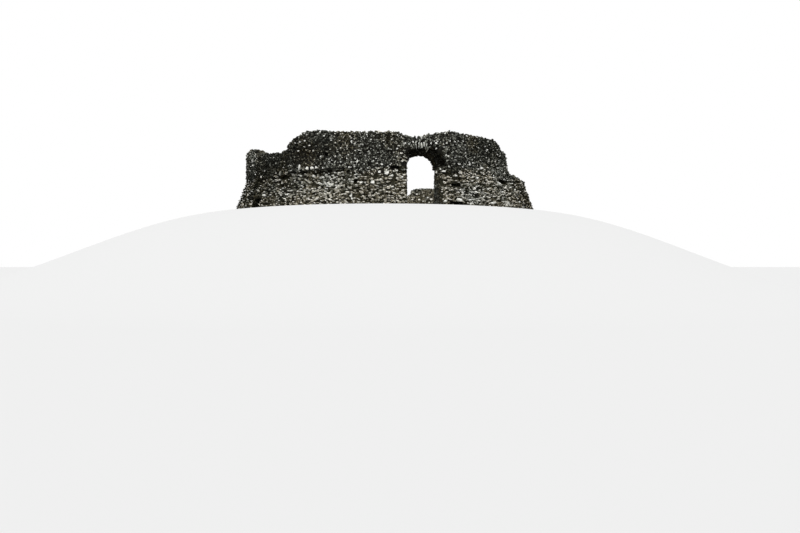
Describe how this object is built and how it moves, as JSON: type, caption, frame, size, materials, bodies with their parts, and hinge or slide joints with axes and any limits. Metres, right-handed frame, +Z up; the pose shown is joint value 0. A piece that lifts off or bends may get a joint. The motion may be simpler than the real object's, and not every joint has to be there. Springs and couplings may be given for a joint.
{
  "type": "ruined shell keep",
  "caption": "Ruined many-sided ring wall of rubble masonry on a battered plinth, with one arched doorway into an open round court.",
  "frame": {"origin": "middle of the ring, at ground level", "axes": "+Z up, doorway facing -Y, +X to the right when facing the doorway from outside"},
  "size_m": [20.2476, 19.94, 4.4],
  "materials": {
    "wall_rubble": "weathered dark rubble in small stones",
    "plinth_rubble": "paler slabby rubble, roughly coursed",
    "arch_stone": "thin radial slabs",
    "sill_stone": "worn flat slab"
  },
  "bodies": {
    "root": {"doorway_threshold": "sill_stone", "doorway_jamb_left": "wall_rubble", "doorway_jamb_right": "wall_rubble", "doorway_arch": "arch_stone", "wall_over_doorway_left": "wall_rubble", "wall_over_doorway_right": "wall_rubble", "plinth_right_1": "plinth_rubble", "plinth_right_2": "plinth_rubble", "plinth_right_3": "plinth_rubble", "plinth_right_4": "plinth_rubble", "plinth_right_5": "plinth_rubble", "plinth_right_6": "plinth_rubble", "plinth_right_7": "plinth_rubble", "plinth_right_8": "plinth_rubble", "plinth_back": "plinth_rubble", "plinth_left_8": "plinth_rubble", "plinth_left_7": "plinth_rubble", "plinth_left_6": "plinth_rubble", "plinth_left_5": "plinth_rubble", "plinth_left_4": "plinth_rubble", "plinth_left_3": "plinth_rubble", "plinth_left_2": "plinth_rubble", "plinth_left_1": "plinth_rubble", "wall_right_1": "wall_rubble", "wall_right_2": "wall_rubble", "wall_right_3": "wall_rubble", "wall_right_4": "wall_rubble", "wall_right_5": "wall_rubble", "wall_right_6": "wall_rubble", "wall_right_7": "wall_rubble", "wall_right_8": "wall_rubble", "wall_back": "wall_rubble", "wall_left_8": "wall_rubble", "wall_left_7": "wall_rubble", "wall_left_6": "wall_rubble", "wall_left_5": "wall_rubble", "wall_left_4": "wall_rubble", "wall_left_3": "wall_rubble", "wall_left_2": "wall_rubble", "wall_left_1": "wall_rubble"}
  },
  "joints": []
}
